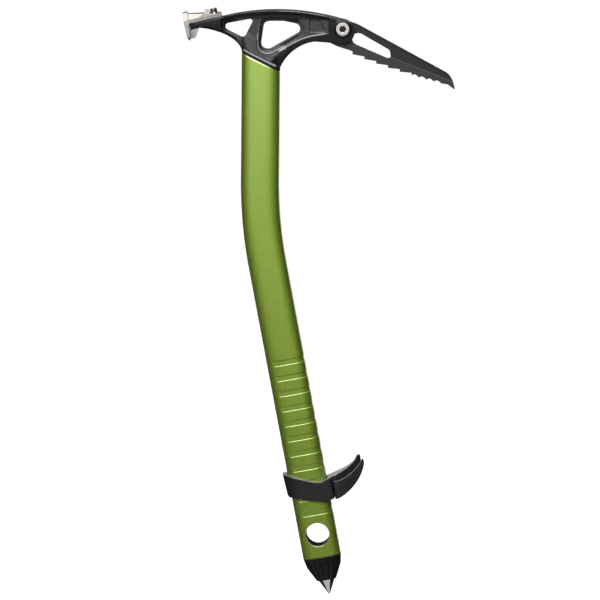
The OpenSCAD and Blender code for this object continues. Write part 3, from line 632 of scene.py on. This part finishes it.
def bevelled_form(name, node, edge, segments=2, sharp=35.0):
    """A machined solid whose edges are broken by a small bevel."""
    work = solid_mesh(node)
    flat = math.radians(FLAT_ANGLE)
    bmesh.ops.dissolve_limit(work, angle_limit=flat, verts=work.verts, edges=work.edges)
    limit = math.radians(sharp)
    rims = [rim for rim in work.edges if rim.is_manifold and rim.calc_face_angle(0.0) > limit]
    bmesh.ops.bevel(
        work,
        geom=rims,
        offset=edge,
        offset_type="OFFSET",
        segments=segments,
        profile=0.5,
        affect="EDGES",
        clamp_overlap=True,
    )
    mesh = to_mesh(name, work)
    smooth_shade(mesh, CREASE_ANGLE)
    return apply_modifiers(mesh, ("WEIGHTED_NORMAL", {"keep_sharp": True}))


def skin_rings(work, rings):
    """Joins rings of points with faces, each ring to the next."""
    for lower, upper in zip(rings, rings[1:]):
        count = len(lower)
        for step in range(count):
            after = (step + 1) % count
            work.faces.new((lower[step], lower[after], upper[after], upper[step]))


# Shaft


def shaft_place(shaft, along):
    """Centre and forward direction of the tube at a distance from the carabiner hole."""
    lean = shaft.bend
    up = Vector((-math.sin(lean), 0.0, math.cos(lean)))
    forward = Vector((math.cos(lean), 0.0, math.sin(lean)))
    if along <= shaft.grip:
        return up * along, forward
    pivot = up * shaft.grip + forward * shaft.bend_radius
    turn = max(0.0, lean - (along - shaft.grip) / shaft.bend_radius)
    facing = Vector((math.cos(turn), 0.0, math.sin(turn)))
    centre = pivot - facing * shaft.bend_radius
    past_bend = along - shaft.grip - lean * shaft.bend_radius
    return centre + Vector((0.0, 0.0, max(0.0, past_bend))), facing


def shaft_section(shaft):
    """Points and outward directions round the oval section."""
    half_w = shaft.width / 2
    half_t = shaft.thickness / 2
    power = shaft.squareness
    places = []
    for step in range(SECTION_STEPS):
        turn = 2 * math.pi * step / SECTION_STEPS
        x = math.copysign(abs(math.cos(turn)) ** (2 / power), math.cos(turn))
        y = math.copysign(abs(math.sin(turn)) ** (2 / power), math.sin(turn))
        facing = Vector((
            math.copysign(abs(x) ** (power - 1) / half_w, x),
            math.copysign(abs(y) ** (power - 1) / half_t, y),
        ))
        places.append((Vector((x * half_w, y * half_t)), facing.normalized()))
    return places


def ease(value):
    """Smooth step from nought to one."""
    value = max(0.0, min(1.0, value))
    return value * value * (3 - 2 * value)


def grooves(shaft):
    """Lower and upper end of each groove along the tube."""
    for count in range(shaft.groove_count):
        low = shaft.groove_base + count * shaft.groove_pitch
        yield low, low + shaft.groove_width


def groove_sink(shaft, along, x):
    """Depth of the pressed grooves at one place on the tube."""
    across = ease((x + shaft.width / 2 - shaft.groove_start) / shaft.groove_fade)
    sink = 0.0
    for low, high in grooves(shaft):
        lip = ease((along - low) / shaft.groove_lip)
        sink = max(sink, lip * ease((high - along) / shaft.groove_run))
    return sink * across * shaft.groove_depth


def shaft_stations(shaft):
    """Distances along the tube at which a ring of points is needed."""
    bend_end = shaft.grip + shaft.bend * shaft.bend_radius
    beside_hole = 0.6 * shaft.hole
    guard = shaft.groove_lip / 4
    stations = [-shaft.tail, -shaft.tail + shaft.rim, -beside_hole, 0.0, beside_hole]
    for low, high in grooves(shaft):
        for part in range(EDGE_RINGS + 1):
            stations.append(low + shaft.groove_lip * part / EDGE_RINGS)
            stations.append(high - shaft.groove_run * part / EDGE_RINGS)
        stations += [low - guard, low + shaft.groove_lip + guard]
        stations += [high - shaft.groove_run - guard, high + guard]
    top_groove = shaft.groove_base + shaft.groove_count * shaft.groove_pitch
    bare_grip = shaft.grip - top_groove
    stations += [top_groove + bare_grip * part / GRIP_RINGS for part in range(GRIP_RINGS + 1)]
    bend_run = bend_end - shaft.grip
    stations += [shaft.grip + bend_run * part / BEND_RINGS for part in range(1, BEND_RINGS + 1)]
    return sorted(stations), bend_end


def shaft_surface(shaft):
    """Closed tube: grooved outside, plain inside, cut on a slope under the head."""
    section = shaft_section(shaft)
    stations, bend_end = shaft_stations(shaft)
    work = bmesh.new()

    def ring(along, inset, rise):
        centre, forward = shaft_place(shaft, along)
        points = []
        for place, facing in section:
            sink = inset + (groove_sink(shaft, along, place.x) if inset < shaft.wall else 0.0)
            x, y = place - facing * sink
            lift = rise * (shaft.neck - x * math.tan(shaft.joint_slope))
            points.append(work.verts.new(centre + forward * x + Vector((0.0, y, lift))))
        return points

    top_edge = shaft.top_slope / shaft.neck
    top_guard = 1.1 * top_edge
    inside = [along for along in reversed(stations) if along <= shaft.tail or along >= shaft.grip]
    rings = [ring(stations[0], shaft.rim, 0.0)]
    rings += [ring(along, 0.0, 0.0) for along in stations[1:]]
    rings += [ring(bend_end, 0.0, part / NECK_RINGS) for part in range(1, NECK_RINGS)]
    rings.append(ring(bend_end, 0.0, 1.0 - top_guard))
    rings.append(ring(bend_end, 0.0, 1.0 - top_edge))
    rings.append(ring(bend_end, shaft.top_inset, 1.0))
    rings.append(ring(bend_end, shaft.wall, 1.0))
    rings += [ring(along, shaft.wall, 0.0) for along in inside]
    rings.append(rings[0])
    skin_rings(work, rings)
    bmesh.ops.recalc_face_normals(work, faces=work.faces)
    return to_mesh("tube", work)


def carabiner_drill(shaft):
    """Cutter for the carabiner hole, with a flared mouth on each side."""
    work = bmesh.new()
    bore = shaft.hole / 2
    half = shaft.thickness / 2
    flare = shaft.rim
    beyond = 3 * flare
    profile = [
        (-half - beyond, bore + flare + beyond),
        (-half + flare, bore),
        (half - flare, bore),
        (half + beyond, bore + flare + beyond),
    ]
    turns = [2 * math.pi * step / HOLE_STEPS for step in range(HOLE_STEPS)]
    loops = []
    for depth, radius in profile:
        places = [(radius * math.cos(turn), depth, radius * math.sin(turn)) for turn in turns]
        loops.append([work.verts.new(place) for place in places])
    skin_rings(work, loops)
    work.faces.new(loops[0])
    work.faces.new(loops[-1])
    bmesh.ops.recalc_face_normals(work, faces=work.faces)
    cutter = bpy.data.objects.new("carabiner_drill", to_mesh("carabiner_drill", work))
    bpy.context.scene.collection.objects.link(cutter)
    return cutter


class ICETOOL_OT_shaft(bpy.types.Operator):
    """Make the grooved and anodised tube"""

    bl_idname = "icetool.shaft"
    bl_label = "Shaft"

    def execute(self, context):
        shaft = context.scene.ice_shaft
        cutter = carabiner_drill(shaft)
        mesh = apply_modifiers(
            shaft_surface(shaft),
            ("BOOLEAN", {"operation": "DIFFERENCE", "solver": "EXACT", "object": cutter}),
        )
        bpy.data.objects.remove(cutter)
        smooth_shade(mesh, CREASE_ANGLE)
        add_piece("shaft", mesh, anodised_green(shaft.colour), "tool", "anodised_green", "shaft_tube")
        return {"FINISHED"}


# Head


def head_joint(shaft):
    """Middle of the sloping joint between the tube and the head."""
    return shaft_place(shaft, shaft.grip + shaft.bend * shaft.bend_radius + shaft.neck)[0]


def above_foot(shaft, head, place):
    """Height of a place over the foot's rim; the place is measured from the joint."""
    over_joint = place.z + place.x * math.tan(shaft.joint_slope)
    return over_joint * math.cos(shaft.joint_slope) - head.foot


def blend_foot(mesh, shaft, head):
    """Runs the flare of the foot into the strut over it, by smoothing it across the tool."""
    joint = head_joint(shaft)
    work = bmesh.new()
    work.from_mesh(mesh)
    zone = []
    for point in work.verts:
        if head.blend_start < above_foot(shaft, head, point.co - joint) < head.blend_end:
            zone.append(point)
    for _ in range(head.blend):
        bmesh.ops.smooth_vert(
            work, verts=zone, factor=SMOOTH_FACTOR, use_axis_x=False, use_axis_y=True, use_axis_z=False
        )
    work.to_mesh(mesh)
    work.free()
    smooth_shade(mesh, SOFT_ANGLE)


def between(value, unit, band, blur):
    """One inside a band and nought outside it, with soft ends; band and blur are in units."""
    low, high = band
    return ease((value / unit - low) / blur) * ease((high - value / unit) / blur)


def skin_share(head, place, depth, above):
    """Share of the blasted skin at a place on the head."""
    web = head.web_depth
    blur = head.skin_blur
    to_arm = ease((place.x + head.arm_start) / (4 * blur))
    under_crown = ease((head.strut_top - place.z) / blur)
    strut = to_arm * under_crown * ease((head.strut_front - place.x) / blur)
    panel = under_crown * ease((place.x - head.panel_back) / blur)
    on_web = between(depth, web, WEB_BAND, SKIN_BLUR)
    on_floor = between(depth, web, FLOOR_BAND, SKIN_BLUR)
    on_foot = between(above, head.foot, FOOT_BAND, FOOT_BLUR) * ease(1.0 - depth / web)
    return min(1.0, strut * max(on_web, on_foot) + panel * max(on_web, on_floor))


def painted_relief_highlight(head, place, normal, depth, above):
    """Share of the painted highlights on the pocket's edge and on the foot's rim; on the pocket's edge
    they favour faces that look up.
    """
    web = head.web_depth
    blur = head.skin_blur
    round_pocket = POCKET_HIGHLIGHT * ease((head.panel_back - place.x) / blur)
    facing_up = round_pocket + (1.0 - round_pocket) * ease(2 * normal.z)
    on_edge = facing_up * between(depth, web, EDGE_BAND, HIGHLIGHT_BLUR)
    on_edge *= ease((place.x + head.highlight_back) / blur)
    on_rim = RIM_HIGHLIGHT * between(above, head.foot, RIM_BAND, HIGHLIGHT_BLUR) * ease(-depth / web)
    return max(on_edge, on_rim)


def painted_step_highlight(head, place, normal, depth):
    """Share of the painted highlight on the step from the web up to the lower rim, on faces that look up.
    """
    on_step = between(depth, head.web_depth, STEP_BAND, HIGHLIGHT_BLUR) * ease(4 * normal.z)
    ends = ease((place.x - head.step_back) / head.skin_blur)
    return on_step * ends * ease((head.step_front - place.x) / head.skin_blur)


def mark_skin(mesh, shaft, head):
    """Stores on each point its share of the blasted skin and of the painted highlights along the relief.
    """
    joint = head_joint(shaft)
    blasted = mesh.attributes.new(WEB_SHARE, "FLOAT", "POINT")
    bright = mesh.attributes.new(PAINTED_HIGHLIGHT_SHARE, "FLOAT", "POINT")
    side_low, side_high = SIDE_SPAN
    for point, skin, line in zip(mesh.vertices, blasted.data, bright.data):
        place = point.co - joint
        normal = point.normal
        side = ease((abs(normal.y) - side_low) / (side_high - side_low))
        taper = max(0.0, min(1.0, -place.x / head.arm_start))
        depth = head.middle + (head.arm - head.middle) * taper - abs(place.y)
        above = above_foot(shaft, head, place)
        skin.value = side * skin_share(head, place, depth, above)
        # Painted highlights, mostly on faces that look up.
        edge = side * painted_relief_highlight(head, place, normal, depth, above)
        line.value = max(edge, painted_step_highlight(head, place, normal, depth))


class ICETOOL_OT_head(bpy.types.Operator):
    """Make the forged head and its gasket"""

    bl_idname = "icetool.head"
    bl_label = "Head"

    def execute(self, context):
        head = context.scene.ice_head
        shaft = context.scene.ice_shaft
        mesh = soft_form("forging", "head", head.voxel, head.passes, keep=0.43, relief=head.relief)
        blend_foot(mesh, shaft, head)
        mark_skin(mesh, shaft, head)
        add_piece("forged_head", mesh, forged_black(head), "tool", "head_black", "head")
        dress("head_gasket", matt_rubber(head.gasket_colour))
        return {"FINISHED"}


# Pick, hammer, nose and rest


def in_socket(mesh, reach):
    """Test for the walls and the floor of a bolt's socket, which opens to the near side."""
    face = min(point.co.y for point in mesh.vertices)
    head = [point.co for point in mesh.vertices if point.co.y < face + reach]
    axis = sum(head, Vector()) / len(head)
    mouth = face + 0.1 * reach
    bottom = face + 1.5 * reach

    def chosen(centre):
        off_axis = math.hypot(centre.x - axis.x, centre.z - axis.z)
        return off_axis < reach and mouth < centre.y < bottom

    return chosen


class ICETOOL_OT_pick(bpy.types.Operator):
    """Make the toothed pick and its fasteners"""

    bl_idname = "icetool.pick"
    bl_label = "Pick"

    def execute(self, context):
        pick = context.scene.ice_pick
        blade = bevelled_form("blade", "pick", pick.edge)
        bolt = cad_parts["pick_bolt"].data.vertices
        axis = sum((point.co for point in bolt), Vector()) / len(bolt)
        add_piece("pick_blade", blade, pick_steel(pick, axis), "tool", "pick_steel", "pick")
        steel = turned_steel("pick_bolt_steel", pick.bolt_colour, roughness=0.4)
        for node in ("pick_bolt", "pick_washer", "pick_nut"):
            mesh = bevelled_form(node + "_form", node, pick.bolt_edge)
            piece = add_piece(node + "_piece", mesh, steel, "tool", "bolt_steel", node)
            if node == "pick_bolt":
                # The socket gets dark steel: partly oil, partly painted shade.
                second_finish(piece, socket_oil_and_shade(pick.socket_oil_and_shade_colour), in_socket(mesh, pick.socket))
        return {"FINISHED"}


class ICETOOL_OT_hammer(bpy.types.Operator):
    """Make the cast hammer and its fasteners"""

    bl_idname = "icetool.hammer"
    bl_label = "Hammer"

    def execute(self, context):
        hammer = context.scene.ice_hammer
        mesh = bevelled_form("casting", "hammer", hammer.edge, segments=3, sharp=20.0)
        add_piece("cast_hammer", mesh, cast_steel(hammer.colour), "tool", "hammer_steel", "hammer")
        steel = turned_steel("hammer_bolt_steel", hammer.colour, roughness=0.24)
        for node in ("hammer_bolt", "hammer_washer", "hammer_pin"):
            form = bevelled_form(node + "_form", node, hammer.bolt_edge)
            add_piece(node + "_piece", form, steel, "tool", "bolt_steel", node)
        return {"FINISHED"}


class ICETOOL_OT_nose(bpy.types.Operator):
    """Make the fluted plug and the spike"""

    bl_idname = "icetool.nose"
    bl_label = "Nose"

    def execute(self, context):
        nose = context.scene.ice_nose
        mesh = soft_form("plug", "end_plug", nose.voxel, nose.passes, keep=0.5)
        # The plug's edges are lightened strongly: mostly painted highlights along the flutes, partly wear.
        plastic = moulded_plastic(
            "plug_plastic", nose.colour, low=0.3, high=0.4, specular=0.22, rubbed_and_highlit=9.0
        )
        plug = add_piece("fluted_plug", mesh, plastic, "tool", "plug_plastic", "end_plug")
        shaft = context.scene.ice_shaft
        _, forward = shaft_place(shaft, 0.0)
        up = Vector((-forward.z, 0.0, forward.x))
        stem = moulded_plastic("stem_plastic", nose.colour, low=0.8, high=0.9, specular=0.08)
        second_finish(plug, stem, lambda centre: up.dot(centre) > -shaft.tail)
        point = bevelled_form("point", "spike", nose.spike_edge, sharp=20.0)
        steel = turned_steel("spike_steel", nose.spike_colour, roughness=0.36)
        add_piece("spike_point", point, steel, "tool", "spike_steel", "spike")
        return {"FINISHED"}


class ICETOOL_OT_rest(bpy.types.Operator):
    """Make the pinky rest, its cam lever and the hardware between them"""

    bl_idname = "icetool.rest"
    bl_label = "Pinky rest"

    def execute(self, context):
        rest = context.scene.ice_rest
        collar = soft_form("collar", "rest_collar", rest.voxel, rest.passes, keep=0.5)
        plastic = moulded_plastic("rest_plastic", rest.colour, low=0.36, high=0.46, specular=0.6)
        # Painted light from above on the collar's upper faces.
        painted_top_light(plastic, rest.top_light_colour)
        add_piece("collar_moulding", collar, plastic, "rest", "rest_plastic", "rest_collar")
        lever = soft_form("lever", "cam_lever", rest.voxel, rest.passes, keep=0.6)
        handle = moulded_plastic(
            "lever_plastic",
            rest.lever_colour,
            low=0.42,
            high=0.56,
            specular=0.5,
            scale=900.0,
            height=0.3,
            speckle=2.2,
        )
        # Painted light from above on the lever's upper faces.
        painted_top_light(handle, rest.top_light_colour)
        add_piece("lever_moulding", lever, handle, "lever", "rest_plastic", "cam_lever")
        steel = turned_steel("rest_hardware_steel", context.scene.ice_pick.bolt_colour, roughness=0.3)
        for node in ("lever_barrel", "tension_screw", "cam_saddle"):
            form = bevelled_form(node + "_form", node, rest.hardware_edge)
            add_piece(node + "_piece", form, steel, "rest", "bolt_steel", node)
        return {"FINISHED"}


# Stage


def add_lamp(name, place, target, size, power):
    """A rectangular soft lamp that faces a point."""
    lamp = bpy.data.lights.new(name, "AREA")
    lamp.shape = "RECTANGLE"
    lamp.size, lamp.size_y = size
    lamp.energy = power
    holder = bpy.data.objects.new(name, lamp)
    holder.location = place
    holder.rotation_euler = (Vector(target) - Vector(place)).to_track_quat("-Z", "Y").to_euler()
    holder.visible_camera = False
    bpy.context.scene.collection.objects.link(holder)


def seen_rays(tree):
    """Node that is one for rays from the camera, a reflection or a clear piece."""
    rays = tree.nodes.new("ShaderNodeLightPath")
    direct = tree.nodes.new("ShaderNodeMath")
    direct.operation = "MAXIMUM"
    seen = tree.nodes.new("ShaderNodeMath")
    seen.operation = "MAXIMUM"
    tree.links.new(rays.outputs["Is Camera Ray"], direct.inputs[0])
    tree.links.new(rays.outputs["Is Glossy Ray"], direct.inputs[1])
    tree.links.new(direct.outputs["Value"], seen.inputs[0])
    tree.links.new(rays.outputs["Is Transmission Ray"], seen.inputs[1])
    return seen


def white_surroundings(scene):
    """World that lights softly and looks white to the camera and in reflections."""
    world = bpy.data.worlds.new("studio")
    world.use_nodes = True
    tree = world.node_tree
    tree.nodes.clear()
    seen = seen_rays(tree)
    soft = tree.nodes.new("ShaderNodeBackground")
    soft.inputs["Strength"].default_value = SOFT_LIGHT
    white = tree.nodes.new("ShaderNodeBackground")
    white.inputs["Color"].default_value = WHITE
    mix = tree.nodes.new("ShaderNodeMixShader")
    output = tree.nodes.new("ShaderNodeOutputWorld")
    tree.links.new(seen.outputs["Value"], mix.inputs["Fac"])
    tree.links.new(soft.outputs[0], mix.inputs[1])
    tree.links.new(white.outputs[0], mix.inputs[2])
    tree.links.new(mix.outputs[0], output.inputs["Surface"])
    scene.world = world


def pale_floor(stage, depth):
    """Wide floor that looks white and still takes a shadow."""
    work = bmesh.new()
    bmesh.ops.create_grid(work, x_segments=1, y_segments=1, size=FLOOR_HALF)
    bmesh.ops.translate(work, verts=work.verts, vec=(0.0, 0.0, depth))
    floor = bpy.data.objects.new("floor", to_mesh("floor", work))
    bpy.context.scene.collection.objects.link(floor)
    material, shader = new_finish("floor", stage.floor_colour, metallic=0.0, roughness=0.9, specular=0.0)
    shader.inputs["Emission Color"].default_value = WHITE
    seen = seen_rays(material.node_tree)
    glow = add_node(material, "ShaderNodeMath", operation="MULTIPLY")
    glow.inputs[1].default_value = FLOOR_GLOW
    join(material, seen, "Value", glow, 0)
    join(material, glow, "Value", shader, "Emission Strength")
    floor.data.materials.append(material)


def dark_flag(name, centre, facing, size):
    """Dark board round the tool that gives its edges a dark reflection."""
    work = bmesh.new()
    bmesh.ops.create_grid(work, x_segments=1, y_segments=1, size=0.5)
    bmesh.ops.scale(work, verts=work.verts, vec=(*size, 1.0))
    board = bpy.data.objects.new(name, to_mesh(name, work))
    board.location = centre
    board.rotation_euler = Vector(facing).to_track_quat("Z", "Y").to_euler()
    board.visible_camera = False
    board.visible_diffuse = False
    board.visible_shadow = False
    bpy.context.scene.collection.objects.link(board)
    material, _ = new_finish(name, FLAG_COLOUR, metallic=0.0, roughness=0.9, specular=0.0)
    board.data.materials.append(material)


def photo_camera(scene, stage):
    """Long lens that looks at the tool from a little above."""
    flat = math.cos(stage.elevation)
    back = Vector((
        math.sin(stage.azimuth) * flat,
        -math.cos(stage.azimuth) * flat,
        math.sin(stage.elevation),
    ))
    lens = bpy.data.cameras.new("photo_camera")
    lens.angle = 2 * math.atan(stage.half_view / stage.distance)
    lens.clip_end = 100.0
    camera = bpy.data.objects.new("photo_camera", lens)
    place = Matrix.Translation(Vector(VIEW_TARGET) + back * stage.distance)
    facing = (-back).to_track_quat("-Z", "Y").to_matrix().to_4x4()
    camera.matrix_world = place @ facing @ Matrix.Rotation(stage.roll, 4, "Z")
    scene.collection.objects.link(camera)
    scene.camera = camera


class ICETOOL_OT_stage(bpy.types.Operator):
    """Set up the camera, the lamps and the pale floor"""

    bl_idname = "icetool.stage"
    bl_label = "Stage"

    def execute(self, context):
        scene = context.scene
        stage = scene.ice_stage
        photo_camera(scene, stage)
        white_surroundings(scene)
        lowest = CAD_BOX[0][2]
        pale_floor(stage, lowest - stage.floor_drop)
        for lamp in LAMPS:
            add_lamp(**lamp)
        for flag in FLAGS:
            dark_flag(**flag)
        for flag in FLOOR_FLAGS:
            centre = (*flag["centre"], lowest - stage.flag_drop)
            dark_flag(flag["name"], centre, (0.0, 0.0, 1.0), flag["size"])
        scene.view_settings.view_transform = "Standard"
        return {"FINISHED"}


class ICETOOL_PT_panel(bpy.types.Panel):
    """Sizes, colours and steps of the ice tool"""

    bl_idname = "ICETOOL_PT_panel"
    bl_label = "Ice Tool"
    bl_space_type = "VIEW_3D"
    bl_region_type = "UI"
    bl_category = "Ice Tool"

    def draw(self, context):
        for operator, group in STEPS:
            box = self.layout.box()
            box.operator(operator.bl_idname)
            settings = getattr(context.scene, group)
            for name in SETTINGS[group].__annotations__:
                box.prop(settings, name)


STEPS = [
    (ICETOOL_OT_shaft, "ice_shaft"),
    (ICETOOL_OT_head, "ice_head"),
    (ICETOOL_OT_pick, "ice_pick"),
    (ICETOOL_OT_hammer, "ice_hammer"),
    (ICETOOL_OT_nose, "ice_nose"),
    (ICETOOL_OT_rest, "ice_rest"),
    (ICETOOL_OT_stage, "ice_stage"),
]


def register():
    for name, group in SETTINGS.items():
        bpy.utils.register_class(group)
        setattr(bpy.types.Scene, name, bpy.props.PointerProperty(type=group))
    for operator, _ in STEPS:
        bpy.utils.register_class(operator)
    bpy.utils.register_class(ICETOOL_PT_panel)


def unregister():
    bpy.utils.unregister_class(ICETOOL_PT_panel)
    for operator, _ in reversed(STEPS):
        bpy.utils.unregister_class(operator)
    for name, group in reversed(SETTINGS.items()):
        delattr(bpy.types.Scene, name)
        bpy.utils.unregister_class(group)


def main():
    register()
    bpy.ops.icetool.shaft()
    bpy.ops.icetool.head()
    bpy.ops.icetool.pick()
    bpy.ops.icetool.hammer()
    bpy.ops.icetool.nose()
    bpy.ops.icetool.rest()
    bpy.ops.icetool.stage()


if __name__ == "__main__":
    main()
